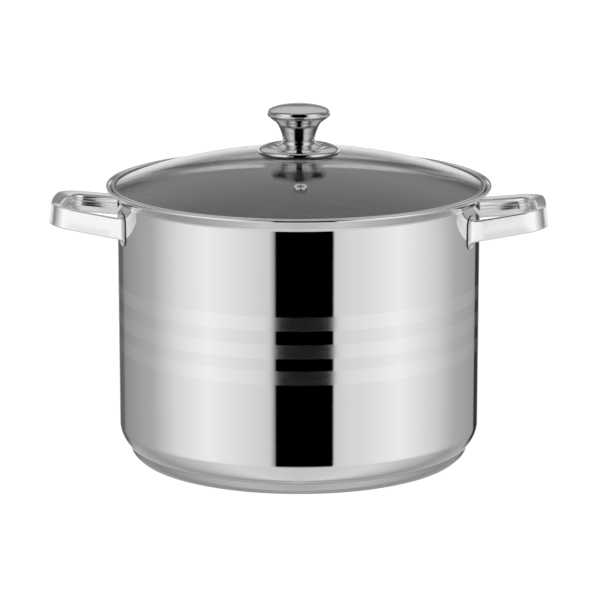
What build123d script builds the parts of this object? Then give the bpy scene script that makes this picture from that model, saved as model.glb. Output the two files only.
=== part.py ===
"""Stainless steel stock pot with a capsule base, two hollow loop handles and a domed glass lid.

Millimetres, +Z up. The origin is the centre of the underside. The handles lie along X.
"""

import os
from math import asin, cos, radians, sin, sqrt, tan

from build123d import *

os.makedirs("parts", exist_ok=True)

# Pot body
BODY_RADIUS = 140.0
BODY_SHEET = 0.8
FLOOR_HEIGHT = 6.6
CORNER_RADIUS = 22.0
CORNER_CENTRE_HEIGHT = 26.0
CORNER_SWEEP = 48.0
TOE_RADIUS = 11.9
FLARE_START = 202.2
FLARE_BEND = 4.0
FLARE_ANGLE = 45.0
LIP_RADIUS = 1.3
LIP_CENTRE = (147.4, 211.3)

# Capsule base
CAP_SHEET = 0.6
CAP_FOOT_RADIUS = 126.8
CAP_BULGE = (130.7, 4.0)
CAP_EDGE = (132.45, 9.3)
CORE_RADIUS = 124.5
CORE_CHAMFER = 1.0

# Handles
HANDLE_ROOT = 134.0
HANDLE_HEIGHT = 184.4
HANDLE_TILT = 7.5
HANDLE_SHEET = 1.0
ARM_WIDTH = 9.0
ARM_DRAW_IN = 13.5
ARM_ACROSS = ARM_WIDTH / cos(radians(ARM_DRAW_IN))
BOW_DEPTH = 16.5
BOW_REACH = 58.1
BOW_HALF_WIDTH = 48.0
BOW_CORNER = 23.6
BOW_END_RADIUS = 200.0
HOLE_REACH = 47.5
HOLE_HALF_WIDTH = BOW_HALF_WIDTH - ARM_ACROSS
HOLE_CORNER = 14.0
ARM_CENTRE = (BOW_HALF_WIDTH + HOLE_HALF_WIDTH) / 2
OUTER_EDGE_RADIUS = 1.6
HOLE_EDGE_RADIUS = 5.6
FOOT_END = 6.5
FOOT_SINK = 3.0
FOOT_FLANGE = (21.0, 24.0)
FOOT_WAIST_LIFT = 1.4
FOOT_WAIST = (14.5, 19.0)
FOOT_CORNER = 2.4
ROOT_OVERRUN = 16.0
SPIGOT_LENGTH = 8.0

# Lid glass
DOME_RADIUS = 400.0
DOME_TOP = 237.4
GLASS_THICKNESS = 3.5
GLASS_RADIUS = 141.9
GLASS_EDGE_LOW = 209.2
GLASS_BEVEL = 1.5
KNOB_HOLE_RADIUS = 3.2

# Lid rim band
BAND_SHEET = 0.5
BAND_TOP = (141.1, 212.1)
BAND_OUTSIDE = 143.35
BAND_LOW = 209.35
BAND_LEG_RADIUS = 138.3
BAND_LEG_END = 199.0
BAND_BEND = 0.7
SEALANT_GAP = 0.05

# Steam vent
VENT_RADIUS = 92.5
VENT_AZIMUTH = -87.0
VENT_HOLE_RADIUS = 3.1
VENT_BORE_RADIUS = 2.3
VENT_TUBE_RADIUS = 3.0
VENT_FLANGE_RADIUS = 5.3
VENT_FLANGE_THICKNESS = 0.9
VENT_WASHER_RADIUS = 4.8
VENT_WASHER_THICKNESS = 0.6
VENT_WASHER_GAP = 0.05
VENT_TUBE_LENGTH = 4.6

# Knob
KNOB_SHEET = 1.0
KNOB_TOP = 273.8
CAP_WIDE = (24.35, 267.4)
CAP_SHOULDER = (16.0, 272.0)
CAP_CREASE = (21.4, 262.8)
NECK_POINTS = [(21.3, 262.7), (16.9, 259.0), (13.9, 252.5), (12.5, 247.2)]
NECK_FOOT = 245.9
COLLAR_RADIUS = 12.0
FLANGE_RADIUS = 31.5
FLANGE_UNDERSIDE = 236.9
FLANGE_RIM = 1.0
FLANGE_DISH = [(29.9, 240.2), (25.0, 241.8), (18.5, 241.4), (14.2, 242.9), (12.4, 245.3)]
FLANGE_LINING = [(11.2, 243.9), (13.4, 241.8), (18.2, 240.2), (22.5, 240.2)]
INSERT_RADIUS = 5.0
INSERT_TOP = 259.0
THREAD_RADIUS = 2.5
BOLT_CLEARANCE = 2.7
BOLT_TOP = 256.0
BOLT_HEAD_RADIUS = 4.8
BOLT_HEAD_HEIGHT = 3.0
GASKET_INSIDE = 26.5
GASKET_OUTSIDE = 30.8
LOWER_GASKET_RADIUS = 8.5
LOWER_GASKET_THICKNESS = 1.0
WASHER_RADIUS = 7.5
WASHER_THICKNESS = 1.0


def save(piece, name):
    """Label a finished piece and write it as its own file."""
    piece.part.label = name
    export_step(piece.part, f"parts/{name}.step")


def dome_height(radius, depth=0.0):
    """Height of the lid glass at a radius, on the surface that lies depth below its outside."""
    return DOME_TOP - DOME_RADIUS + sqrt((DOME_RADIUS - depth) ** 2 - radius**2)


# ---------------------------------------------------------------- pot body

def build_pot_shell():
    """Deep-drawn shell: flat floor, rounded corner, straight wall, flared mouth and beaded lip."""
    corner_centre = (BODY_RADIUS - CORNER_RADIUS, CORNER_CENTRE_HEIGHT)
    sweep = radians(CORNER_SWEEP)
    toe_turn = radians(90.0 - CORNER_SWEEP)
    toe_start = corner_centre[0] + (CORNER_RADIUS - TOE_RADIUS) * cos(sweep)
    cone_width = LIP_CENTRE[0] - BODY_RADIUS - FLARE_BEND * (1 - cos(radians(FLARE_ANGLE)))
    with BuildPart() as shell:
        with BuildSketch(Plane.XZ):
            with BuildLine():
                floor = Line((0, FLOOR_HEIGHT), (toe_start, FLOOR_HEIGHT))
                toe = JernArc(floor @ 1, (1, 0), TOE_RADIUS, 90.0 - CORNER_SWEEP)
                corner = JernArc(toe @ 1, toe % 1, CORNER_RADIUS, CORNER_SWEEP)
                wall = Line(corner @ 1, (BODY_RADIUS, FLARE_START))
                bend = JernArc(wall @ 1, (0, 1), FLARE_BEND, -FLARE_ANGLE)
                PolarLine(bend @ 1, cone_width, FLARE_ANGLE, length_mode=LengthMode.HORIZONTAL)
                offset(amount=BODY_SHEET, side=Side.LEFT)
            make_face()
            with Locations(LIP_CENTRE):
                Circle(LIP_RADIUS)
        revolve(axis=Axis.Z)
    return shell


def build_base_core():
    """Aluminium heat-spreading disc pressed between the floor and the base cap."""
    with BuildPart() as core:
        with BuildSketch(Plane.XY.offset(CAP_SHEET)):
            Circle(CORE_RADIUS)
        extrude(amount=FLOOR_HEIGHT - CAP_SHEET)
        chamfer(core.edges().filter_by(GeomType.CIRCLE), CORE_CHAMFER)
    return core


def build_base_cap():
    """Steel capsule that covers the core and reaches up round the pot's corner."""
    foot_inside = CAP_FOOT_RADIUS - CAP_SHEET / 2
    bulge_inside = (CAP_BULGE[0] - CAP_SHEET, CAP_BULGE[1] + CAP_SHEET / 4)
    edge_inside = (CAP_EDGE[0] - CAP_SHEET, CAP_EDGE[1] - CAP_SHEET)
    with BuildPart() as cap:
        with BuildSketch(Plane.XZ):
            with BuildLine():
                under = Line((0, 0), (CAP_FOOT_RADIUS, 0))
                outside = ThreePointArc(under @ 1, CAP_BULGE, CAP_EDGE)
                edge = Line(outside @ 1, edge_inside)
                inside = ThreePointArc(edge @ 1, bulge_inside, (foot_inside, CAP_SHEET))
                Polyline(inside @ 1, (0, CAP_SHEET), (0, 0))
            make_face()
        revolve(axis=Axis.Z)
    return cap


# ---------------------------------------------------------------- handles

def handle_plane(side):
    """Mid-plane of a handle, rising gently outward; side is 1 for right and -1 for left."""
    rise = radians(HANDLE_TILT)
    return Plane(
        origin=(side * HANDLE_ROOT, 0, HANDLE_HEIGHT),
        x_dir=(side * cos(rise), 0, sin(rise)),
        z_dir=(-side * sin(rise), 0, cos(rise)),
    )


def half_width_at(half_width, along):
    """Half width of the loop at a distance along it; both arms draw in towards the outer end."""
    return half_width - along * tan(radians(ARM_DRAW_IN))


def bow_outline(reach, half_width, corner, root):
    """Plan of a loop with straight arms, rounded corners and a slightly bowed outer end."""
    end_width = half_width_at(half_width, reach)
    end_start = reach - (BOW_END_RADIUS - sqrt(BOW_END_RADIUS**2 - end_width**2))
    end_width = half_width_at(half_width, end_start)
    root_width = half_width_at(half_width, root)
    with BuildSketch() as outline:
        with BuildLine():
            arms = Polyline(
                (end_start, end_width), (root, root_width), (root, -root_width), (end_start, -end_width)
            )
            ThreePointArc(arms @ 1, (reach, 0), arms @ 0)
        make_face()
        fillet(outline.vertices().group_by(Axis.X)[-1], corner)
    return outline.sketch


def bow_solid(plane, inset):
    """Closed loop of the handle's section, drawn in by inset on every side."""
    across = inset * ARM_ACROSS / ARM_WIDTH
    outer = bow_outline(
        BOW_REACH - inset, BOW_HALF_WIDTH - across, BOW_CORNER - inset, -2 * ROOT_OVERRUN
    )
    hole = bow_outline(HOLE_REACH + inset, HOLE_HALF_WIDTH + across, HOLE_CORNER + inset, -ROOT_OVERRUN)
    with BuildPart() as bow:
        with BuildSketch(plane):
            add(outer)
            add(hole, mode=Mode.SUBTRACT)
        extrude(amount=BOW_DEPTH / 2 - inset, both=True)
        faces = bow.faces().sort_by(Axis(plane.origin, plane.z_dir))
        rims = [faces[0].outer_wire(), faces[-1].outer_wire()]
        fillet([edge for rim in rims for edge in rim.edges()], OUTER_EDGE_RADIUS - inset)
        faces = bow.faces().sort_by(Axis(plane.origin, plane.z_dir))
        rims = [faces[0].inner_wires()[0], faces[-1].inner_wires()[0]]
        fillet([edge for rim in rims for edge in rim.edges()], HOLE_EDGE_RADIUS - inset)
    return bow.part


def arm_plane(side, arm_y):
    """Plane square across one arm, where the hollow bow ends and its weld foot begins."""
    plane = handle_plane(side)
    draw_in = side * arm_y * radians(ARM_DRAW_IN)
    centre = side * arm_y * half_width_at(ARM_CENTRE, FOOT_END)
    return Plane(
        origin=plane.from_local_coords((FOOT_END, centre, 0)),
        x_dir=plane.y_dir * cos(draw_in) + plane.x_dir * sin(draw_in),
        z_dir=plane.x_dir * cos(draw_in) - plane.y_dir * sin(draw_in),
    )


def build_handle_half(side, keep):
    """Pressed half of the hollow bow; both halves meet on the handle's mid-plane."""
    plane = handle_plane(side)
    solid = bow_solid(plane, 0.0)
    hollow = bow_solid(plane, HANDLE_SHEET)
    with BuildPart() as half:
        add(solid)
        add(hollow, mode=Mode.SUBTRACT)
        split(bisect_by=plane, keep=keep)
        for arm_y in (-1, 1):
            split(bisect_by=arm_plane(side, arm_y), keep=Keep.TOP)
    return half


def wall_plane(side, arm_y, lift):
    """Plane tangent to the pot's wall where an arm lands, lift outside the wall."""
    bearing = asin(ARM_CENTRE / BODY_RADIUS)
    normal = Vector(side * cos(bearing), arm_y * sin(bearing), 0)
    origin = normal * (BODY_RADIUS + lift) + Vector(0, 0, HANDLE_HEIGHT)
    return Plane(origin=origin, x_dir=Vector(0, 0, 1).cross(normal), z_dir=normal)


def build_weld_foot(side, arm_y):
    """Flared foot of one arm: a trumpet welded to the wall, with a spigot inside the hollow arm."""
    sections = [
        (wall_plane(side, arm_y, -FOOT_SINK), FOOT_FLANGE),
        (wall_plane(side, arm_y, FOOT_WAIST_LIFT), FOOT_WAIST),
        (arm_plane(side, arm_y), (ARM_WIDTH, BOW_DEPTH)),
    ]
    with BuildPart() as foot:
        for plane, size in sections:
            with BuildSketch(plane):
                RectangleRounded(size[0], size[1], FOOT_CORNER)
        loft()
        with BuildSketch(arm_plane(side, arm_y)):
            Rectangle(ARM_WIDTH - 2 * HANDLE_SHEET, BOW_DEPTH - 2 * HOLE_EDGE_RADIUS)
        extrude(amount=SPIGOT_LENGTH)
        Cylinder(
            BODY_RADIUS,
            FLARE_START,
            align=(Align.CENTER, Align.CENTER, Align.MIN),
            mode=Mode.SUBTRACT,
        )
    return foot


# ---------------------------------------------------------------- lid

def vent_plane(depth=0.0):
    """Plane tangent to the dome at the steam vent, depth below the glass's outside."""
    azimuth = radians(VENT_AZIMUTH)
    climb = sqrt(DOME_RADIUS**2 - VENT_RADIUS**2)
    normal = Vector(VENT_RADIUS * cos(azimuth), VENT_RADIUS * sin(azimuth), climb).normalized()
    centre = Vector(0, 0, DOME_TOP - DOME_RADIUS)
    return Plane(origin=centre + normal * (DOME_RADIUS - depth), z_dir=normal)


def build_lid_glass():
    """Domed tempered glass disc with a bevelled edge, a knob hole and a vent hole."""
    bevel_foot = GLASS_RADIUS - GLASS_BEVEL
    half_out = GLASS_RADIUS / 2
    with BuildPart() as glass:
        with BuildSketch(Plane.XZ):
            with BuildLine():
                outside = ThreePointArc(
                    (0, DOME_TOP),
                    (half_out, dome_height(half_out)),
                    (GLASS_RADIUS, dome_height(GLASS_RADIUS)),
                )
                edge = Polyline(
                    outside @ 1,
                    (GLASS_RADIUS, GLASS_EDGE_LOW),
                    (bevel_foot, dome_height(bevel_foot, GLASS_THICKNESS)),
                )
                inside = ThreePointArc(
                    edge @ 1,
                    (half_out, dome_height(half_out, GLASS_THICKNESS)),
                    (0, DOME_TOP - GLASS_THICKNESS),
                )
                Line(inside @ 1, outside @ 0)
            make_face()
        revolve(axis=Axis.Z)
        with BuildSketch(Plane.XY.offset(DOME_TOP)):
            Circle(KNOB_HOLE_RADIUS)
        extrude(amount=2 * GLASS_THICKNESS, both=True, mode=Mode.SUBTRACT)
        with BuildSketch(vent_plane()):
            Circle(VENT_HOLE_RADIUS)
        extrude(amount=2 * GLASS_THICKNESS, both=True, mode=Mode.SUBTRACT)
    return glass


def build_rim_band():
    """Rolled steel band round the glass edge, with a leg that centres the lid in the mouth."""
    slope = BAND_LOW - BAND_OUTSIDE
    leg_top = (BAND_LEG_RADIUS, BAND_LEG_RADIUS + slope)
    with BuildPart() as band:
        with BuildSketch(Plane.XZ):
            with BuildLine():
                FilletPolyline(
                    BAND_TOP,
                    (BAND_OUTSIDE, BAND_TOP[1]),
                    (BAND_OUTSIDE, BAND_LOW),
                    leg_top,
                    (BAND_LEG_RADIUS, BAND_LEG_END),
                    radius=BAND_BEND,
                )
            trace(line_width=BAND_SHEET)
        revolve(axis=Axis.Z)
    return band


def build_rim_sealant():
    """Silicone bead that holds the glass edge inside the band."""
    outside = BAND_OUTSIDE - BAND_SHEET / 2 - SEALANT_GAP
    inner_slope = BAND_LOW - BAND_OUTSIDE + BAND_SHEET
    bevel_foot = GLASS_RADIUS - GLASS_BEVEL
    with BuildPart() as sealant:
        with BuildSketch(Plane.XZ):
            with BuildLine():
                Polyline(
                    (GLASS_RADIUS, dome_height(GLASS_RADIUS)),
                    (outside, dome_height(GLASS_RADIUS)),
                    (outside, outside + inner_slope),
                    (bevel_foot, bevel_foot + inner_slope),
                    (bevel_foot, dome_height(bevel_foot, GLASS_THICKNESS)),
                    (GLASS_RADIUS, GLASS_EDGE_LOW),
                    close=True,
                )
            make_face()
        revolve(axis=Axis.Z)
    return sealant


def build_vent_eyelet():
    """Steel eyelet: a domed flange on the glass and a tube through it."""
    with BuildPart() as eyelet:
        with BuildSketch(vent_plane()):
            Circle(VENT_FLANGE_RADIUS)
        extrude(amount=VENT_FLANGE_THICKNESS)
        fillet(eyelet.edges().filter_by(GeomType.CIRCLE).sort_by(Axis.Z)[-1], VENT_FLANGE_THICKNESS / 2)
        with BuildSketch(vent_plane(VENT_TUBE_LENGTH)):
            Circle(VENT_TUBE_RADIUS)
        extrude(amount=VENT_TUBE_LENGTH)
        with BuildSketch(vent_plane(VENT_TUBE_LENGTH)):
            Circle(VENT_BORE_RADIUS)
        extrude(amount=2 * VENT_TUBE_LENGTH, mode=Mode.SUBTRACT)
    return eyelet


def build_vent_washer():
    """Steel washer under the glass that the eyelet's tube passes through."""
    with BuildPart() as washer:
        with BuildSketch(vent_plane(GLASS_THICKNESS + VENT_WASHER_GAP + VENT_WASHER_THICKNESS)):
            Circle(VENT_WASHER_RADIUS)
            Circle(VENT_TUBE_RADIUS, mode=Mode.SUBTRACT)
        extrude(amount=VENT_WASHER_THICKNESS)
    return washer


# ---------------------------------------------------------------- knob

def build_knob_cap():
    """Pressed lens-shaped top of the knob, open underneath."""
    wide_inside = (CAP_WIDE[0] - KNOB_SHEET, CAP_WIDE[1])
    shoulder_inside = (CAP_SHOULDER[0] - KNOB_SHEET / 4, CAP_SHOULDER[1] - KNOB_SHEET)
    crease_inside = (CAP_CREASE[0] - KNOB_SHEET, CAP_CREASE[1])
    with BuildPart() as cap:
        with BuildSketch(Plane.XZ):
            with BuildLine():
                crown = Spline((0, KNOB_TOP), CAP_SHOULDER, CAP_WIDE, tangents=((1, 0), (0, -1)))
                skirt = Spline(crown @ 1, CAP_CREASE, tangents=((0, -1), (-1, -1)))
                edge = Line(skirt @ 1, crease_inside)
                lining = Spline(edge @ 1, wide_inside, tangents=((1, 1), (0, 1)))
                ceiling = Spline(
                    lining @ 1,
                    shoulder_inside,
                    (0, KNOB_TOP - KNOB_SHEET),
                    tangents=((0, 1), (-1, 0)),
                )
                Line(ceiling @ 1, crown @ 0)
            make_face()
        revolve(axis=Axis.Z)
    return cap


def build_knob_neck():
    """Waisted neck of the knob, a spun shell with a flat foot."""
    inner = [(radius - KNOB_SHEET, height) for radius, height in NECK_POINTS]
    foot_radius = NECK_POINTS[-1][0]
    with BuildPart() as neck:
        with BuildSketch(Plane.XZ):
            with BuildLine():
                outside = Spline(*NECK_POINTS)
                Polyline(
                    outside @ 1,
                    (foot_radius, NECK_FOOT),
                    (BOLT_CLEARANCE, NECK_FOOT),
                    (BOLT_CLEARANCE, NECK_FOOT + KNOB_SHEET),
                    (foot_radius - KNOB_SHEET, NECK_FOOT + KNOB_SHEET),
                    inner[-1],
                )
                inside = Spline(*reversed(inner))
                Line(inside @ 1, outside @ 0)
            make_face()
        revolve(axis=Axis.Z)
    return neck


def build_knob_insert():
    """Threaded steel insert welded to the neck's foot, blind at the top."""
    with BuildPart() as insert:
        with BuildSketch(Plane.XY.offset(NECK_FOOT + KNOB_SHEET)):
            Circle(INSERT_RADIUS)
        extrude(amount=INSERT_TOP - NECK_FOOT - KNOB_SHEET)
        with BuildSketch(Plane.XY.offset(NECK_FOOT + KNOB_SHEET)):
            Circle(THREAD_RADIUS)
        extrude(amount=BOLT_TOP - NECK_FOOT - KNOB_SHEET, mode=Mode.SUBTRACT)
    return insert


def build_knob_base():
    """Dished flange with a raised collar that carries the knob."""
    rim_top = FLANGE_UNDERSIDE + FLANGE_RIM
    collar_inside = COLLAR_RADIUS - KNOB_SHEET
    with BuildPart() as base:
        with BuildSketch(Plane.XZ):
            with BuildLine():
                rim = Polyline(
                    (GASKET_INSIDE, FLANGE_UNDERSIDE),
                    (FLANGE_RADIUS, FLANGE_UNDERSIDE),
                    (FLANGE_RADIUS, rim_top),
                )
                dish = Spline(rim @ 1, *FLANGE_DISH, tangents=((0, 1), (-1, 2)))
                collar = Polyline(
                    dish @ 1,
                    (COLLAR_RADIUS, NECK_FOOT),
                    (BOLT_CLEARANCE, NECK_FOOT),
                    (BOLT_CLEARANCE, NECK_FOOT - KNOB_SHEET),
                    (collar_inside, NECK_FOOT - KNOB_SHEET),
                    FLANGE_LINING[0],
                )
                lining = Spline(*FLANGE_LINING)
                Line(lining @ 1, rim @ 0)
            make_face()
        revolve(axis=Axis.Z)
    return base


def build_upper_gasket():
    """Silicone ring between the flange's rim and the dome."""
    middle = (GASKET_INSIDE + GASKET_OUTSIDE) / 2
    with BuildPart() as gasket:
        with BuildSketch(Plane.XZ):
            with BuildLine():
                under = ThreePointArc(
                    (GASKET_INSIDE, dome_height(GASKET_INSIDE)),
                    (middle, dome_height(middle)),
                    (GASKET_OUTSIDE, dome_height(GASKET_OUTSIDE)),
                )
                Polyline(
                    under @ 1,
                    (GASKET_OUTSIDE, FLANGE_UNDERSIDE),
                    (GASKET_INSIDE, FLANGE_UNDERSIDE),
                    under @ 0,
                )
            make_face()
        revolve(axis=Axis.Z)
    return gasket


def build_ring(top, thickness, outer, inner):
    """Flat ring on the lid's axis, measured down from its top."""
    with BuildPart() as ring:
        with BuildSketch(Plane.XY.offset(top - thickness)):
            Circle(outer)
            Circle(inner, mode=Mode.SUBTRACT)
        extrude(amount=thickness)
    return ring


def build_knob_screw(head_top):
    """Pan-head screw from under the lid up into the knob's insert."""
    with BuildPart() as screw:
        with BuildSketch(Plane.XY.offset(head_top)):
            Circle(BOLT_HEAD_RADIUS)
        extrude(amount=-BOLT_HEAD_HEIGHT)
        fillet(screw.edges().filter_by(GeomType.CIRCLE).sort_by(Axis.Z)[0], BOLT_HEAD_HEIGHT / 2)
        with BuildSketch(Plane.XY.offset(head_top)):
            Circle(THREAD_RADIUS)
        extrude(amount=BOLT_TOP - head_top)
        with BuildSketch(Plane.XY.offset(head_top - BOLT_HEAD_HEIGHT)):
            Rectangle(BOLT_HEAD_RADIUS, BOLT_HEAD_RADIUS / 5)
            Rectangle(BOLT_HEAD_RADIUS / 5, BOLT_HEAD_RADIUS)
        extrude(amount=BOLT_HEAD_HEIGHT / 2, mode=Mode.SUBTRACT)
    return screw


# ---------------------------------------------------------------- write every piece

save(build_pot_shell(), "pot_shell")
save(build_base_core(), "base_core")
save(build_base_cap(), "base_cap")

for side_name, side in (("left", -1), ("right", 1)):
    save(build_handle_half(side, Keep.TOP), f"{side_name}_handle_upper_half")
    save(build_handle_half(side, Keep.BOTTOM), f"{side_name}_handle_lower_half")
    for arm_name, arm_y in (("front", -1), ("rear", 1)):
        save(build_weld_foot(side, arm_y), f"{side_name}_{arm_name}_handle_foot")

save(build_lid_glass(), "lid_glass")
save(build_rim_band(), "lid_rim_band")
save(build_rim_sealant(), "lid_rim_sealant")
save(build_vent_eyelet(), "vent_eyelet")
save(build_vent_washer(), "vent_washer")

save(build_knob_cap(), "knob_cap")
save(build_knob_neck(), "knob_neck")
save(build_knob_insert(), "knob_insert")
save(build_knob_base(), "knob_base")
save(build_upper_gasket(), "knob_upper_gasket")

glass_underside = dome_height(LOWER_GASKET_RADIUS, GLASS_THICKNESS)
washer_top = glass_underside - LOWER_GASKET_THICKNESS
save(
    build_ring(glass_underside, LOWER_GASKET_THICKNESS, LOWER_GASKET_RADIUS, BOLT_CLEARANCE),
    "knob_lower_gasket",
)
save(build_ring(washer_top, WASHER_THICKNESS, WASHER_RADIUS, BOLT_CLEARANCE), "knob_washer")
save(build_knob_screw(washer_top - WASHER_THICKNESS), "knob_screw")
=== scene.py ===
"""Looks of the stock pot: mirror-polished steel body, hollow loop handles, glass lid and turned knob.

Metres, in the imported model's frame. Profiles are (radius, height) in millimetres and are scaled on use.
"""

from math import atan2, cos, degrees, pi, radians, sin, sqrt, tan

import bmesh
import bpy
from mathutils import Matrix, Vector


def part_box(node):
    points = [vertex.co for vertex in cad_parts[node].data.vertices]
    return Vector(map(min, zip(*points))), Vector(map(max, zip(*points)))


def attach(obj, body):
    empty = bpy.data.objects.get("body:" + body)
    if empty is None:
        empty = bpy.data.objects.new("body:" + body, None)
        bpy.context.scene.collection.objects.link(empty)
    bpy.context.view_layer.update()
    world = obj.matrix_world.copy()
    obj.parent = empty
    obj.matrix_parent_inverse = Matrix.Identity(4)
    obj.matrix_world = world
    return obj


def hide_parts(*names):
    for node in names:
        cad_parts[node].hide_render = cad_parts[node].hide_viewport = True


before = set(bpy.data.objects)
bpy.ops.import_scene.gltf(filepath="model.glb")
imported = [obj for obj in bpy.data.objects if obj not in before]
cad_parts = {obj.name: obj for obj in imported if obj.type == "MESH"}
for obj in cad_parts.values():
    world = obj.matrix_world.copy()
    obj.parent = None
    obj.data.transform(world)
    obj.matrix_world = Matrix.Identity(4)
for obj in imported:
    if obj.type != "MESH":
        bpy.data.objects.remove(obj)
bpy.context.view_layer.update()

MM = 0.001
STEPS_ROUND = 288
SHARP_ANGLE = radians(32)

# ------------------------------------------------------------ sizes read from the frame, in millimetres


def mm_box(*nodes):
    """Lowest and highest corner of several CAD nodes together."""
    boxes = [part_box(node) for node in nodes]
    low = [min(box[0][i] for box in boxes) / MM for i in range(3)]
    high = [max(box[1][i] for box in boxes) / MM for i in range(3)]
    return Vector(low), Vector(high)


shell_low, shell_high = mm_box("pot_shell")
_, cap_high = mm_box("base_cap")
_, glass_high = mm_box("lid_glass")
band_low, band_high = mm_box("lid_rim_band")
_, knob_high = mm_box("knob_cap")
flange_low, flange_high = mm_box("knob_base")

SHEET = 0.8
LIP_BEAD = 1.3
BODY_RADIUS = 140.0
FLOOR_HEIGHT = shell_low.z
LIP_CENTRE = (shell_high.x - LIP_BEAD, shell_high.z - LIP_BEAD)

# ------------------------------------------------------------ outlines


def arc(centre, radius, start, end, steps):
    """Points along an arc, its angles in degrees."""
    turn = [radians(start + (end - start) * i / steps) for i in range(steps + 1)]
    return [(centre[0] + radius * cos(a), centre[1] + radius * sin(a)) for a in turn]


def straight(start, end, margin=0.35):
    """A straight run with a point close to each end, which keeps its shading flat."""
    length = sqrt((end[0] - start[0]) ** 2 + (end[1] - start[1]) ** 2)
    shares = [0.0, margin / length, 1.0 - margin / length, 1.0] if length > 3 * margin else [0.0, 1.0]
    return [tuple(a + (b - a) * share for a, b in zip(start, end)) for share in shares]


def curve(points, steps=10):
    """Smooth curve through a few points."""
    ends = [points[0], *points, points[-1]]
    found = []

    def between(a, b, c, d, t):
        """Catmull-Rom value at a share t of the way from b to c."""
        linear, square, cube = c - a, 2 * a - 5 * b + 4 * c - d, 3 * b - a - 3 * c + d
        return 0.5 * (2 * b + linear * t + square * t * t + cube * t**3)

    for four in zip(ends, ends[1:], ends[2:], ends[3:]):
        for i in range(steps):
            found.append(tuple(between(*axis, i / steps) for axis in zip(*four)))
    return [*found, points[-1]]


def joined(*runs):
    """One line of points from several that meet end to end."""
    found = []
    for run in runs:
        for point in run:
            if not found or (Vector(point) - Vector(found[-1])).length > 1e-4:
                found.append(point)
    return found


def thickened(path, thickness):
    """Closed outline of a sheet that lies to the left of a path."""
    inner = []
    for i, point in enumerate(path):
        before, after = Vector(path[max(i - 1, 0)]), Vector(path[min(i + 1, len(path) - 1)])
        along = (after - before).normalized()
        inner.append((max(point[0] - along.y * thickness, 0.0), point[1] + along.x * thickness))
    return path + inner[::-1]


# ------------------------------------------------------------ meshes


def finished(name, mesh, materials, body, replaced):
    """Makes a piece of a mesh, shades it smooth and hangs it on its body."""
    mesh.name = name
    for material in materials:
        mesh.materials.append(material)
    mesh.shade_smooth()
    mesh.set_sharp_from_angle(angle=SHARP_ANGLE)
    piece = bpy.data.objects.new(name, mesh)
    bpy.context.scene.collection.objects.link(piece)
    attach(piece, body)
    if replaced:
        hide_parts(*replaced)
    return piece


def turned_mesh(outline, steps=STEPS_ROUND, place=Matrix.Identity(4), inside=None):
    """Mesh of a closed (radius, height) outline turned about Z. Runs at or past inside take material 1."""
    bm = bmesh.new()
    rings = []
    for radius, height in outline:
        if radius < 1e-6:
            rings.append([bm.verts.new((0, 0, height * MM))])
            continue
        angles = [2 * pi * i / steps for i in range(steps)]
        ring = [(radius * MM * cos(a), radius * MM * sin(a), height * MM) for a in angles]
        rings.append([bm.verts.new(point) for point in ring])
    count = len(rings)
    for k in range(count):
        low, high = rings[k], rings[(k + 1) % count]
        if len(low) == 1 and len(high) == 1:
            continue
        for i in range(steps):
            j = (i + 1) % steps
            if len(low) == 1:
                corners = (low[0], high[j], high[i])
            elif len(high) == 1:
                corners = (low[i], low[j], high[0])
            else:
                corners = (low[i], low[j], high[j], high[i])
            face = bm.faces.new(corners)
            face.material_index = int(inside is not None and k >= inside)
    bmesh.ops.recalc_face_normals(bm, faces=bm.faces)
    bm.transform(place)
    mesh = bpy.data.meshes.new("turned")
    bm.to_mesh(mesh)
    bm.free()
    return mesh


def turned(name, outline, materials, body, slot, replaced=None, **options):
    """A lathe-turned piece that stands for CAD nodes."""
    mesh = turned_mesh(outline, **options)
    return finished(name, mesh, materials, body, replaced or [name])


def skinned_mesh(loops, second_from=None):
    """Mesh through a row of equal closed loops of points in millimetres; its far loops take material 1."""
    bm = bmesh.new()
    rings = [[bm.verts.new(Vector(p) * MM) for p in loop] for loop in loops]
    for k, (low, high) in enumerate(zip(rings, rings[1:])):
        for i in range(len(low)):
            j = (i + 1) % len(low)
            face = bm.faces.new((low[i], low[j], high[j], high[i]))
            face.material_index = int(second_from is not None and k >= second_from)
    bm.faces.new(rings[0][::-1])
    bm.faces.new(rings[-1])
    bmesh.ops.recalc_face_normals(bm, faces=bm.faces)
    mesh = bpy.data.meshes.new("skinned")
    bm.to_mesh(mesh)
    bm.free()
    return mesh


# ------------------------------------------------------------ materials


def principled(name, **values):
    """New node material with its Principled shader's own values set."""
    material = bpy.data.materials.new(name)
    material.use_nodes = True
    shader = material.node_tree.nodes["Principled BSDF"]
    for socket, value in values.items():
        shader.inputs[socket.replace("_", " ")].default_value = value
    return material, material.node_tree, shader


def node(tree, kind, **values):
    """New node with its properties and, where a name is a socket, its socket values set."""
    made = tree.nodes.new(kind)
    for key, value in values.items():
        if hasattr(made, key):
            setattr(made, key, value)
        else:
            made.inputs[key.replace("_", " ")].default_value = value
    return made


def stretched_noise(tree, scale, stretch, detail=3.0):
    """Noise in the object's own space, drawn out along an axis by small stretch factors."""
    place = node(tree, "ShaderNodeTexCoord")
    mapping = node(tree, "ShaderNodeMapping")
    mapping.inputs["Scale"].default_value = stretch
    noise = node(tree, "ShaderNodeTexNoise", Scale=scale, Detail=detail)
    tree.links.new(place.outputs["Object"], mapping.inputs["Vector"])
    tree.links.new(mapping.outputs["Vector"], noise.inputs["Vector"])
    return noise


def ranged(tree, source, low, high, from_low=0.3, from_high=0.7):
    """Maps a value to a range."""
    mapped = node(tree, "ShaderNodeMapRange")
    mapped.inputs["From Min"].default_value = from_low
    mapped.inputs["From Max"].default_value = from_high
    mapped.inputs["To Min"].default_value = low
    mapped.inputs["To Max"].default_value = high
    tree.links.new(source, mapped.inputs["Value"])
    return mapped.outputs["Result"]


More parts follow.
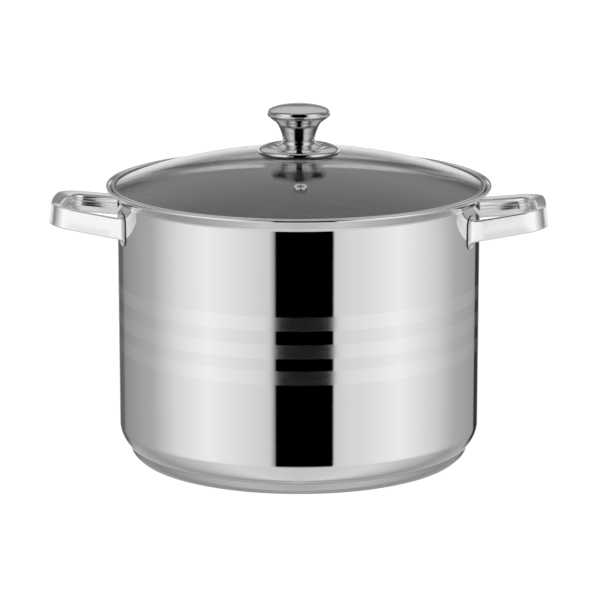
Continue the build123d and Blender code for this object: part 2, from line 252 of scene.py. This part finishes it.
def bumped(tree, shader, source, strength, distance):
    """Bump from a value on the shader's normal."""
    bump = node(tree, "ShaderNodeBump")
    bump.inputs["Strength"].default_value = strength
    bump.inputs["Distance"].default_value = distance
    tree.links.new(source, bump.inputs["Height"])
    tree.links.new(bump.outputs["Normal"], shader.inputs["Normal"])


def steel(name, colour, roughness, spread, grain=(1.0, 1.0, 60.0), bump=0.02):
    """Steel with a fine polishing grain: its roughness wanders by spread, its grain runs across Z."""
    material, tree, shader = principled(name, Metallic=1.0, Base_Color=(*colour, 1.0))
    noise = stretched_noise(tree, 40.0, grain)
    rough = ranged(tree, noise.outputs["Fac"], max(roughness - spread, 0.0), roughness + spread)
    tree.links.new(rough, shader.inputs["Roughness"])
    bumped(tree, shader, noise.outputs["Fac"], bump, 0.00002)
    return material


BAND_MIDDLES = (133.05, 112.1, 92.2)
BAND_HALF = 5.4


def satin_mask(tree):
    """One on the body's three brushed bands, fading over half a millimetre at their edges."""
    place = node(tree, "ShaderNodeTexCoord")
    split = node(tree, "ShaderNodeSeparateXYZ")
    tree.links.new(place.outputs["Object"], split.inputs["Vector"])
    found = None
    for middle in BAND_MIDDLES:
        off = node(tree, "ShaderNodeMath", operation="SUBTRACT")
        off.inputs[1].default_value = middle * MM
        size = node(tree, "ShaderNodeMath", operation="ABSOLUTE")
        tree.links.new(split.outputs["Z"], off.inputs[0])
        tree.links.new(off.outputs[0], size.inputs[0])
        near = ranged(tree, size.outputs[0], 1.0, 0.0, (BAND_HALF - 0.3) * MM, (BAND_HALF + 0.3) * MM)
        if found:
            most = node(tree, "ShaderNodeMath", operation="MAXIMUM")
            tree.links.new(found, most.inputs[0])
            tree.links.new(near, most.inputs[1])
            near = most.outputs[0]
        found = near
    return found


def mixed(tree, factor, low, high):
    """Value between low and high, each a number or a node's output."""
    mix = node(tree, "ShaderNodeMix", data_type="FLOAT")
    tree.links.new(factor, mix.inputs["Factor"])
    for name, value in (("A", low), ("B", high)):
        if isinstance(value, float):
            mix.inputs[name].default_value = value
        else:
            tree.links.new(value, mix.inputs[name])
    return mix.outputs["Result"]


def make_body_steel():
    """Mirror-polished steel with three brushed bands."""
    material, tree, shader = principled("mirror_steel")
    mask = satin_mask(tree)
    fine = stretched_noise(tree, 40.0, (1.0, 1.0, 60.0))
    brush = stretched_noise(tree, 30.0, (1.0, 1.0, 200.0), 4.0)
    polish = ranged(tree, fine.outputs["Fac"], 0.02, 0.05)
    satin = ranged(tree, brush.outputs["Fac"], 0.10, 0.16)
    tree.links.new(mixed(tree, mask, polish, satin), shader.inputs["Roughness"])
    haze = ranged(tree, brush.outputs["Fac"], 0.992, 0.982)
    tree.links.new(mixed(tree, mask, 1.0, haze), shader.inputs["Metallic"])
    shade = node(tree, "ShaderNodeCombineColor")
    level = mixed(tree, mask, 0.82, 0.87)
    for channel in ("Red", "Green", "Blue"):
        tree.links.new(level, shade.inputs[channel])
    tree.links.new(shade.outputs["Color"], shader.inputs["Base Color"])
    bumped(tree, shader, fine.outputs["Fac"], 0.02, 0.00002)
    return material


mirror_steel = make_body_steel()
inside_steel = steel("inside_steel", (0.74, 0.74, 0.74), 0.16, 0.04, (1.0, 1.0, 8.0), 0.05)
# Near-black steel on the thin ring where each handle foot meets the wall: painted shade for the dark line
# at the joint.
weld_painted_shade = steel("weld_painted_shade", (0.05, 0.05, 0.05), 0.35, 0.05)
base_steel = steel("base_steel", (0.62, 0.62, 0.62), 0.26, 0.05)
band_steel = steel("band_steel", (0.80, 0.80, 0.80), 0.07, 0.02)
knob_steel = steel("knob_steel", (0.71, 0.71, 0.71), 0.06, 0.02)
handle_steel = steel("handle_steel", (0.95, 0.95, 0.95), 0.14, 0.02, (12.0, 12.0, 12.0))
fitting_steel = steel("fitting_steel", (0.62, 0.62, 0.62), 0.08, 0.02)
core_aluminium = steel("core_aluminium", (0.80, 0.80, 0.80), 0.35, 0.05)


def make_silicone():
    """Dark silicone with a faint grain."""
    material, tree, shader = principled("silicone", Base_Color=(0.03, 0.03, 0.03, 1.0))
    noise = stretched_noise(tree, 900.0, (1.0, 1.0, 1.0))
    tree.links.new(ranged(tree, noise.outputs["Fac"], 0.4, 0.55), shader.inputs["Roughness"])
    bumped(tree, shader, noise.outputs["Fac"], 0.1, 0.00005)
    return material


def make_glass():
    """Clear tempered glass, very slightly grey."""
    material, tree, shader = principled(
        "lid_glass", Base_Color=(0.93, 0.95, 0.945, 1.0), Transmission_Weight=1.0, IOR=1.5
    )
    noise = stretched_noise(tree, 14.0, (1.0, 1.0, 1.0))
    tree.links.new(ranged(tree, noise.outputs["Fac"], 0.0, 0.03), shader.inputs["Roughness"])
    return material


silicone = make_silicone()
lid_glass = make_glass()

# ------------------------------------------------------------ pot body

CORNER_RADIUS = 22.0
CORNER_CENTRE = (BODY_RADIUS - CORNER_RADIUS, 26.0)
CORNER_SWEEP = 48.0
TOE_RADIUS = 11.9
FLARE_START = 202.2
FLARE_BEND = 4.0


def toe_centre():
    """Centre of the small bend between the bottom corner and the floor."""
    out = (CORNER_RADIUS - TOE_RADIUS) * cos(radians(CORNER_SWEEP))
    return CORNER_CENTRE[0] + out, FLOOR_HEIGHT + TOE_RADIUS


def shell_outside():
    """Outside of the drawn shell, from the axis under the floor up to the lip."""
    toe = toe_centre()
    bend = arc((BODY_RADIUS + FLARE_BEND, FLARE_START), FLARE_BEND, 180, 135, 10)
    return joined(
        straight((0, FLOOR_HEIGHT), (toe[0], FLOOR_HEIGHT)),
        arc(toe, TOE_RADIUS, -90, -CORNER_SWEEP, 10),
        arc(CORNER_CENTRE, CORNER_RADIUS, -CORNER_SWEEP, 0, 24),
        straight((BODY_RADIUS, CORNER_CENTRE[1]), (BODY_RADIUS, FLARE_START)),
        bend,
        straight(bend[-1], (LIP_CENTRE[0] - 0.2, LIP_CENTRE[1] - LIP_BEAD + 0.4)),
        arc(LIP_CENTRE, LIP_BEAD, -75, 150, 18),
    )


def shell_outline():
    """Closed outline of the shell; its inside starts where the lip's bead ends."""
    outside = shell_outside()
    inner_radius = BODY_RADIUS - SHEET
    toe = toe_centre()
    bend = arc((BODY_RADIUS + FLARE_BEND, FLARE_START), FLARE_BEND + SHEET, 135, 180, 10)
    inside = joined(
        straight(outside[-1], bend[0]),
        bend,
        straight((inner_radius, FLARE_START), (inner_radius, CORNER_CENTRE[1])),
        arc(CORNER_CENTRE, CORNER_RADIUS - SHEET, 0, -CORNER_SWEEP, 24),
        arc(toe, TOE_RADIUS - SHEET, -CORNER_SWEEP, -90, 10),
        straight((toe[0], FLOOR_HEIGHT + SHEET), (0, FLOOR_HEIGHT + SHEET)),
    )
    return joined(outside, inside), len(outside)


shell, first_inside = shell_outline()
steels = [mirror_steel, inside_steel]
turned("pot_body", shell, steels, "pot", "body_steel", ["pot_shell"], inside=first_inside)

CAP_SHEET = 0.6
CAP_FOOT = cap_high.x - 5.65
CAP_SHOULDER = (cap_high.x - 1.75, 4.0)


def cap_outline():
    """Closed outline of the capsule that covers the base's core."""
    outside = joined(
        straight((0, 0), (CAP_FOOT, 0)),
        curve([(CAP_FOOT, 0), CAP_SHOULDER, (cap_high.x, cap_high.z)], 12),
    )
    return thickened(outside, CAP_SHEET)


turned("base_capsule", cap_outline(), [base_steel], "pot", "base_steel", ["base_cap"])

# ------------------------------------------------------------ handles

HANDLE_TILT = radians(7.5)
HANDLE_ORIGIN = (134.0, 184.4)
ARM_WIDTH = 9.0
ARM_DRAW_IN = radians(13.5)
BOW_DEPTH = 16.5
BOW_REACH = 58.1
BOW_HALF_WIDTH = 48.0
BOW_CORNER = 23.6
BOW_END_RADIUS = 200.0
HOLE_REACH = 47.5
HOLE_HALF_WIDTH = BOW_HALF_WIDTH - ARM_WIDTH / cos(ARM_DRAW_IN)
HOLE_CORNER = 14.0
ARM_CENTRE = (BOW_HALF_WIDTH + HOLE_HALF_WIDTH) / 2
FOOT_END = 6.5
OUTER_EDGE = 1.3
EDGE_TURN = 80
EDGE_STEPS = 14
TOP_FALL = 0.20
HOLE_EDGE = (4.8, 6.5)
SEAM = 0.3


def arm_end(depth):
    """Plan point of an arm's square end, depth in from its outer wall, as (along, across)."""
    centre = ARM_CENTRE - FOOT_END * tan(ARM_DRAW_IN)
    out = ARM_WIDTH / 2 - depth
    return FOOT_END + out * sin(ARM_DRAW_IN), centre + out * cos(ARM_DRAW_IN)


def bow_half_line(reach, half_width, corner, start, arm_steps=10, corner_steps=24, end_steps=12):
    """Plan line of half a bow from its root to the middle of its outer end, as (along, across)."""
    end_centre = reach - BOW_END_RADIUS
    slope = tan(ARM_DRAW_IN)
    rise = half_width - corner / cos(ARM_DRAW_IN)
    a = 1 + slope**2
    b = -2 * (end_centre + rise * slope)
    c = end_centre**2 + rise**2 - (BOW_END_RADIUS - corner) ** 2
    along = (-b + sqrt(b * b - 4 * a * c)) / (2 * a)
    across = rise - slope * along
    meet = degrees(atan2(across, along - end_centre))
    turn = arc((along, across), corner, 90 - degrees(ARM_DRAW_IN), meet, corner_steps)
    shares = [i / arm_steps for i in range(arm_steps + 1)]
    arm = [tuple(p + (q - p) * share for p, q in zip(start, turn[0])) for share in shares]
    return joined(arm, turn, arc((end_centre, 0), BOW_END_RADIUS, meet, 0, end_steps))


def bow_line(reach, half_width, corner, start):
    """Plan line of the whole bow, root to root."""
    half = bow_half_line(reach, half_width, corner, start)
    return half + [(along, -across) for along, across in half[-2::-1]]


def rounded_top(width):
    """Top of the section, which falls from its outer edge to its rounded hole side, as (in, height)."""
    top = BOW_DEPTH / 2
    wide, tall = HOLE_EDGE
    fall = TOP_FALL * (width - wide - OUTER_EDGE)
    turn = [radians(EDGE_TURN - EDGE_TURN * i / EDGE_STEPS) for i in range(EDGE_STEPS + 1)]
    bend = [(width - wide + wide * cos(a), top - fall - tall + tall * sin(a)) for a in turn]
    return joined(
        arc((OUTER_EDGE, top - OUTER_EDGE), OUTER_EDGE, 180, EDGE_TURN, 6),
        bend,
    )


def section(width, upper):
    """Upper or lower half of the bow's section, as (in from the outer wall, height) points."""
    half = joined(
        [(0, 0)],
        rounded_top(width),
        straight(rounded_top(width)[-1], (width, SEAM)),
        [(width - SEAM, 0)],
    )
    sign = 1 if upper else -1
    return [(inward, sign * height) for inward, height in half]


def handle_place(side):
    """Matrix from a handle's own (along, across, up) to the frame, in millimetres."""
    along = Vector((side * cos(HANDLE_TILT), 0, sin(HANDLE_TILT)))
    up = Vector((-side * sin(HANDLE_TILT), 0, cos(HANDLE_TILT)))
    across = Vector((0, 1, 0))
    origin = Vector((side * HANDLE_ORIGIN[0], 0, HANDLE_ORIGIN[1]))
    rotation = Matrix((along, across, up)).transposed().to_4x4()
    return Matrix.Translation(origin) @ rotation


def bow_loops(side, upper):
    """Loops of points along half the bow's depth."""
    place = handle_place(side)
    outer = bow_line(BOW_REACH, BOW_HALF_WIDTH, BOW_CORNER, arm_end(0.0))
    inner = bow_line(HOLE_REACH, HOLE_HALF_WIDTH, HOLE_CORNER, arm_end(ARM_WIDTH))
    loops = []
    for out, hole in zip(outer, inner):
        inward = Vector(hole) - Vector(out)
        width = inward.length
        inward.normalize()
        loop = []
        for depth, height in section(width, upper):
            across = Vector(out) + inward * depth
            loop.append(place @ Vector((across.x, across.y, height)))
        loops.append(loop)
    return loops


def arm_section():
    """Whole section of an arm, all round, as (in from the outer wall, height)."""
    top = rounded_top(ARM_WIDTH)
    bottom = [(inward, -height) for inward, height in reversed(top)]
    return joined(top, straight(top[-1], bottom[0], 1.0), bottom, straight(bottom[-1], top[0], 1.0)[:-1])


FOOT_FLARE = 4.2
FOOT_STEPS = 12
WELD_WIDTH = 0.7
WALL_SINK = 0.15


def foot_loops(side, arm):
    """Loops of a trumpet foot from the arm's end to the wall, which it meets in a thin weld ring that
    carries painted shade.
    """
    place = handle_place(side)
    points = arm_section()
    inward = Vector((-cos(ARM_DRAW_IN), arm * sin(ARM_DRAW_IN), 0))
    toward_pot = (place.to_3x3() @ inward).normalized()

    def at(depth, height):
        """Point of the arm's section at its end."""
        along, across = arm_end(depth)
        return place @ Vector((along, arm * across, height))

    loops = [[at(depth, height) for depth, height in points]]
    for k in range(FOOT_STEPS + 1):
        turn = radians(90) * k / FOOT_STEPS
        loop = []
        for i, (depth, height) in enumerate(points):
            before, after = Vector(points[i - 1]), Vector(points[(i + 1) % len(points)])
            chord = (after - before).normalized()
            spread = FOOT_FLARE * (1 - cos(turn))
            start = at(depth - chord.y * spread, height + chord.x * spread)
            run = wall_distance(start, toward_pot) - FOOT_FLARE * (1 - sin(turn))
            loop.append(start + toward_pot * max(run, 0.0))
        loops.append(loop)
    # This last ring takes the near-black painted shade.
    weld = [point + toward_pot * WELD_WIDTH for point in loops[-1]]
    for back, loop in zip((WELD_WIDTH, 0.0), (loops[-1], weld)):
        for point in loop:
            reach = Vector((point.x, point.y)).length
            out = (BODY_RADIUS + back) / reach
            point.x, point.y = point.x * out, point.y * out
    return [*loops, weld]


def wall_distance(start, direction):
    """How far a line runs from start before it meets the pot's wall."""
    a = direction.x**2 + direction.y**2
    b = start.x * direction.x + start.y * direction.y
    c = start.x**2 + start.y**2 - (BODY_RADIUS - WALL_SINK) ** 2
    return (-b - sqrt(b * b - a * c)) / a


for side_name, side in (("left", -1), ("right", 1)):
    for half_name, upper in (("upper", True), ("lower", False)):
        finished(
            f"{side_name}_handle_{half_name}",
            skinned_mesh(bow_loops(side, upper)),
            [handle_steel],
            "pot",
            [f"{side_name}_handle_{half_name}_half"],
        )
    for arm_name, arm in (("front", -1), ("rear", 1)):
        finished(
            f"{side_name}_{arm_name}_foot",
            # From its last ring on, each foot takes the near-black painted shade.
            skinned_mesh(foot_loops(side, arm), second_from=FOOT_STEPS + 1),
            [handle_steel, weld_painted_shade],
            "pot",
            [f"{side_name}_{arm_name}_handle_foot"],
        )

# ------------------------------------------------------------ lid

DOME_RADIUS = 400.0
GLASS_THICKNESS = 3.5
GLASS_BEVEL = 1.5
GLASS_EDGE_LOW = 209.2
KNOB_HOLE = 3.2
DOME_TOP = glass_high.z
GLASS_RADIUS = glass_high.x


def dome_height(radius, depth=0.0):
    """Height of the glass at a radius, on the surface depth below its outside."""
    return DOME_TOP - DOME_RADIUS + sqrt((DOME_RADIUS - depth) ** 2 - radius**2)


def dome_run(start, end, depth, steps=40):
    """Points over the dome from one radius to another."""
    radii = [start + (end - start) * i / steps for i in range(steps + 1)]
    return [(radius, dome_height(radius, depth)) for radius in radii]


bevel_foot = GLASS_RADIUS - GLASS_BEVEL
glass_outline = joined(
    dome_run(KNOB_HOLE, GLASS_RADIUS, 0.0),
    [(GLASS_RADIUS, GLASS_EDGE_LOW)],
    dome_run(bevel_foot, KNOB_HOLE, GLASS_THICKNESS),
)
turned("glass_dome", glass_outline, [lid_glass], "lid", "lid_glass", ["lid_glass"])

BAND_SHEET = 0.5
BAND_BEND = 0.9
BAND_TOP_INNER = 141.1
BAND_TURN_UNDER = 0.85
BAND_SIDE_LOW = 209.35
BAND_LEG = 138.3


def band_outline():
    """Closed outline of the rolled band: top flange, outer edge, sloping seat and centring leg."""
    middle = band_high.x - BAND_SHEET / 2
    top = band_high.z - BAND_SHEET / 2
    slope = BAND_SIDE_LOW - middle
    under = BAND_SIDE_LOW + 0.35
    path = joined(
        straight((BAND_TOP_INNER, top), (middle - BAND_BEND, top)),
        arc((middle - BAND_BEND, top - BAND_BEND), BAND_BEND, 90, 0, 8),
        straight((middle, top - BAND_BEND), (middle, under)),
        arc((middle - BAND_TURN_UNDER, under), BAND_TURN_UNDER, 0, -45, 5),
        straight((middle - 0.35, BAND_SIDE_LOW - 0.35), (BAND_LEG + 0.3, BAND_LEG + 0.3 + slope)),
        [(BAND_LEG, BAND_LEG + slope - 0.4), (BAND_LEG, band_low.z)],
    )
    half = BAND_SHEET / 2
    outer = thickened(path, half)[len(path):][::-1]
    inner = thickened(path, -half)[len(path):]
    return outer + inner


turned("rim_band", band_outline(), [band_steel], "lid", "band_steel", ["lid_rim_band"])

# ------------------------------------------------------------ knob

KNOB_TOP = knob_high.z
KNOB_SHEET = 1.0
CAP_WIDE = (knob_high.x, 267.4)
CAP_CREASE = (21.4, 262.8)
NECK_FOOT = 245.9
NECK_POINTS = [(21.3, 262.7), (16.9, 259.0), (13.9, 252.5), (12.5, 247.2)]
SCREW_HOLE = 2.7
FLANGE_RADIUS = flange_high.x
FLANGE_LOW = flange_low.z
FLANGE_EDGE = (FLANGE_RADIUS, FLANGE_LOW + 1.0)
FLANGE_TOP = (21.0, 241.7)


def cap_points():
    """Outside of the knob's cap from the top down to its crease."""
    shoulder = (16.5, 272.3)
    crown = curve([(0, KNOB_TOP), (9.0, KNOB_TOP - 0.3), shoulder, (22.4, 270.2), CAP_WIDE], 8)
    skirt = curve([CAP_WIDE, (23.8, 265.0), CAP_CREASE], 8)
    return joined(crown, skirt)


crown_outline = thickened(cap_points()[::-1], KNOB_SHEET)
turned("knob_crown", crown_outline, [knob_steel], "lid", "knob_steel", ["knob_cap"])

neck_side = curve(NECK_POINTS, 10)
neck_outline = joined(
    neck_side,
    [(NECK_POINTS[-1][0] - 0.4, NECK_FOOT)],
    [(SCREW_HOLE, NECK_FOOT), (SCREW_HOLE, NECK_FOOT + KNOB_SHEET)],
    [(radius - KNOB_SHEET, height + 0.2) for radius, height in reversed(neck_side)],
)
turned("knob_waist", neck_outline, [knob_steel], "lid", "knob_steel", ["knob_neck"])

flange_side = joined(
    [(FLANGE_RADIUS - 0.6, FLANGE_LOW)],
    curve([(FLANGE_RADIUS - 0.2, FLANGE_LOW + 0.3), FLANGE_EDGE], 4),
    curve([FLANGE_EDGE, (30.7, 239.6), (28.4, 241.0), (25.0, 241.8), FLANGE_TOP], 8),
    curve([FLANGE_TOP, (17.8, 241.3), (15.6, 241.9), (13.6, 243.3), (12.6, 245.0)], 8),
    [(12.3, NECK_FOOT - 0.25), (11.7, NECK_FOOT - 0.1), (11.7, NECK_FOOT), (SCREW_HOLE, NECK_FOOT)],
    [(SCREW_HOLE, NECK_FOOT - KNOB_SHEET), (11.2, NECK_FOOT - KNOB_SHEET)],
    curve(
        [(11.4, 243.8), (14.0, 241.4), (18.0, 240.3), (25.0, 240.5), (29.0, 239.0), (29.8, FLANGE_LOW)], 6
    ),
)
turned("knob_flange", flange_side, [knob_steel], "lid", "knob_steel", ["knob_base"])

# ------------------------------------------------------------ steam vent

VENT_RADIUS = 92.5
VENT_AZIMUTH = radians(-87.0)


def vent_place():
    """Matrix that stands the eyelet on the dome, in metres."""
    climb = sqrt(DOME_RADIUS**2 - VENT_RADIUS**2)
    normal = Vector((VENT_RADIUS * cos(VENT_AZIMUTH), VENT_RADIUS * sin(VENT_AZIMUTH), climb)).normalized()
    origin = (Vector((0, 0, DOME_TOP - DOME_RADIUS)) + normal * DOME_RADIUS) * MM
    return Matrix.Translation(origin) @ normal.to_track_quat("Z", "Y").to_matrix().to_4x4()


eyelet_outline = joined(
    [(2.3, -4.6), (2.3, 0.3)],
    arc((3.0, 0.3), 0.7, 180, 90, 6),
    arc((4.4, 0.1), 0.9, 90, 0, 6),
    [(5.3, 0.0), (3.0, 0.0), (3.0, -4.6)],
)
turned(
    "vent_ring",
    eyelet_outline,
    [fitting_steel],
    "lid",
    "fitting_steel",
    ["vent_eyelet"],
    steps=64,
    place=vent_place(),
)

# ------------------------------------------------------------ CAD nodes that stay

kept = {
    "base_core": core_aluminium,
    "lid_rim_sealant": silicone,
    "vent_washer": fitting_steel,
    "knob_insert": fitting_steel,
    "knob_upper_gasket": silicone,
    "knob_lower_gasket": silicone,
    "knob_washer": fitting_steel,
    "knob_screw": fitting_steel,
}
for name, material in kept.items():
    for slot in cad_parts[name].material_slots:
        slot.material = material

# ------------------------------------------------------------ studio

# Grey levels of the tent, as (degrees, level). Bearings are 0 at the camera and positive to its right.
CAMERA_TURN = radians(2.2)
WHITE = (1.0, 1.0, 1.0, 1.0)
LOW_AROUND = [
    (-180, 0.95), (-170, 0.9), (-163, 0.12), (-151, 0.14), (-146, 0.30), (-106, 0.48), (-84, 0.8),
    (-60, 1.0), (-38, 0.86), (-18.5, 0.72), (-15.6, 0.45), (-14.6, 0.0), (22.0, 0.0), (22.4, 0.72),
    (34, 0.82), (38, 0.82), (66, 1.0), (96, 0.74), (117, 0.48), (147, 0.36), (150, 0.34), (152, 0.03),
    (164, 0.05), (168, 0.9), (180, 0.95),
]
HIGH_AROUND = [
    (-180, 0.25), (-136, 0.15), (-114, 0.15), (-90, 0.55), (-66, 1.0), (-16, 0.95), (-14.8, 0.0),
    (22.0, 0.0), (23.2, 0.95), (66, 1.0), (90, 0.55), (114, 0.15), (136, 0.15), (180, 0.25),
]
TOP_AROUND = [
    (-180, 0.25), (-136, 0.10), (-108, 0.10), (-84, 0.60), (-66, 1.0), (-42, 1.0), (-28, 0.0),
    (32, 0.0), (46, 1.0), (66, 1.0), (84, 0.60), (108, 0.10), (136, 0.10), (180, 0.25),
]
FLOOR_AROUND = [
    (-180, 0.55), (-120, 0.36), (-75, 0.62), (-45, 0.78), (-20, 0.71), (0, 0.66), (22, 0.70), (50, 0.78),
    (80, 0.62), (120, 0.36), (180, 0.55),
]
FRONT_HEIGHT = [(-90, 1.0), (46, 1.0), (56, 0.35), (75, 0.30), (90, 0.45)]
BEHIND_HEIGHT = [
    (-90, 0.9), (-12, 0.9), (2, 0.85), (7, 0.55), (9.5, 0.20), (14, 0.22), (19, 0.45), (26, 0.60),
    (34, 0.66), (60, 0.68), (90, 0.50),
]
BACK_AROUND = [(-180, 1), (-135, 1), (-110, 0), (110, 0), (135, 1), (180, 1)]
RISE_HEIGHT = [(-90, 0), (-11.3, 0), (-10.7, 1), (90, 1)]
TOP_HEIGHT = [(-90, 0), (66, 0), (80, 1), (90, 1)]
WIDEN_HEIGHT = [(-90, 0), (10, 0), (34, 1), (90, 1)]
FLOOR_HEIGHTS = [(-90, 1), (-27, 1), (-21, 0), (90, 0)]


def ramp_of(tree, source, stops, name):
    """Grey level read from a list of (position, level) stops along a value from 0 to 1."""
    shade = node(tree, "ShaderNodeValToRGB")
    shade.label = name
    ramp = shade.color_ramp
    for _ in range(len(stops) - 2):
        ramp.elements.new(0.5)
    for element, (position, level) in zip(ramp.elements, stops):
        element.position = position
        element.color = (level, level, level, 1.0)
    tree.links.new(source, shade.inputs["Fac"])
    return shade.outputs["Color"]


def world_light():
    """Studio tent: bright panels left and right of a dark gap, paler floor, dim above and behind."""
    world = bpy.data.worlds.new("studio")
    bpy.context.scene.world = world
    world.use_nodes = True
    tree = world.node_tree
    background = tree.nodes["Background"]
    place = node(tree, "ShaderNodeTexCoord")
    turn = node(tree, "ShaderNodeVectorRotate", rotation_type="Z_AXIS", Angle=-CAMERA_TURN)
    split = node(tree, "ShaderNodeSeparateXYZ")
    tree.links.new(place.outputs["Generated"], turn.inputs["Vector"])
    tree.links.new(turn.outputs["Vector"], split.inputs["Vector"])
    front = node(tree, "ShaderNodeMath", operation="MULTIPLY")
    front.inputs[1].default_value = -1.0
    tree.links.new(split.outputs["Y"], front.inputs[0])
    bearing = node(tree, "ShaderNodeMath", operation="ARCTAN2")
    tree.links.new(split.outputs["X"], bearing.inputs[0])
    tree.links.new(front.outputs[0], bearing.inputs[1])
    around = ranged(tree, bearing.outputs[0], 0.0, 1.0, -pi, pi)
    height = ranged(tree, split.outputs["Z"], 0.0, 1.0, -1.0, 1.0)

    def by_bearing(stops, name):
        """Level by the bearing round the pot."""
        placed = [((angle + 180) / 360, level) for angle, level in stops]
        return ramp_of(tree, around, placed, name)

    def by_height(stops, name):
        """Level by the angle above the horizon."""
        placed = [((sin(radians(angle)) + 1) / 2, level) for angle, level in stops]
        return ramp_of(tree, height, placed, name)

    low = by_bearing(LOW_AROUND, "low")
    high = by_bearing(HIGH_AROUND, "high")
    below = by_bearing(FLOOR_AROUND, "below")
    higher = by_bearing(TOP_AROUND, "higher")
    behind = by_height(BEHIND_HEIGHT, "behind")
    at_back = by_bearing(BACK_AROUND, "at back")
    front_height = by_height(FRONT_HEIGHT, "front height")
    rise = by_height(RISE_HEIGHT, "rise")
    top = by_height(TOP_HEIGHT, "top")
    widen = by_height(WIDEN_HEIGHT, "widen")
    floor_share = by_height(FLOOR_HEIGHTS, "floor")

    def blend(factor, first, second):
        """Colour that goes from first to second as the factor goes from 0 to 1."""
        mix = node(tree, "ShaderNodeMix", data_type="RGBA")
        tree.links.new(factor, mix.inputs["Factor"])
        for name, value in (("A", first), ("B", second)):
            if isinstance(value, tuple):
                mix.inputs[name].default_value = value
            else:
                tree.links.new(value, mix.inputs[name])
        return mix.outputs["Result"]

    panels = blend(top, blend(widen, high, higher), WHITE)
    lit = node(tree, "ShaderNodeMix", data_type="RGBA", blend_type="MULTIPLY")
    lit.inputs["Factor"].default_value = 1.0
    tree.links.new(panels, lit.inputs["A"])
    tree.links.new(front_height, lit.inputs["B"])
    upper = blend(at_back, lit.outputs["Result"], behind)
    sides = blend(rise, low, upper)
    tent = blend(floor_share, sides, below)
    path = node(tree, "ShaderNodeLightPath")
    seen = blend(path.outputs["Is Camera Ray"], tent, WHITE)
    tree.links.new(seen, background.inputs["Color"])


def quad(name, corners, material):
    """Flat staged card."""
    mesh = bpy.data.meshes.new(name)
    mesh.from_pydata([Vector(c) * MM for c in corners], [], [(0, 1, 2, 3)])
    mesh.materials.append(material)
    card = bpy.data.objects.new(name, mesh)
    bpy.context.scene.collection.objects.link(card)
    return card


FLOOR_SIZE = 6000.0
FLOOR_DROP = 0.05


def floor():
    """Pale floor that shows only a soft contact shadow."""
    size = FLOOR_SIZE
    material, tree, shader = principled("floor_white", Base_Color=(0.9, 0.9, 0.9, 1.0), Roughness=0.9)
    shader.inputs["Specular IOR Level"].default_value = 0.0
    shader.inputs["Emission Color"].default_value = WHITE
    shader.inputs["Emission Strength"].default_value = 0.75
    corners = [(-size, -size, 0), (size, -size, 0), (size, size, 0), (-size, size, 0)]
    plane = quad("floor", corners, material)
    plane.location.z = -FLOOR_DROP * MM
    plane.visible_glossy = False


CAMERA_AWAY = 2420.2
CAMERA_HEIGHT = 671.2
AIM_HEIGHT = 119.8
AIM_ASIDE = 0.97
LENS = 191.67


def camera():
    """Camera at the reference view: a little to the right of square on, and above."""
    turn = CAMERA_TURN
    eye = Vector((CAMERA_AWAY * sin(turn), -CAMERA_AWAY * cos(turn), CAMERA_HEIGHT))
    aim = Vector((AIM_ASIDE * cos(turn), AIM_ASIDE * sin(turn), AIM_HEIGHT))
    data = bpy.data.cameras.new("camera")
    data.sensor_width = 36.0
    data.lens = LENS
    data.clip_end = 50.0
    view = bpy.data.objects.new("camera", data)
    view.location = eye * MM
    view.rotation_euler = (aim - eye).to_track_quat("-Z", "Y").to_euler()
    bpy.context.scene.collection.objects.link(view)
    bpy.context.scene.camera = view


world_light()
floor()
camera()
bpy.context.scene.view_settings.view_transform = "Standard"
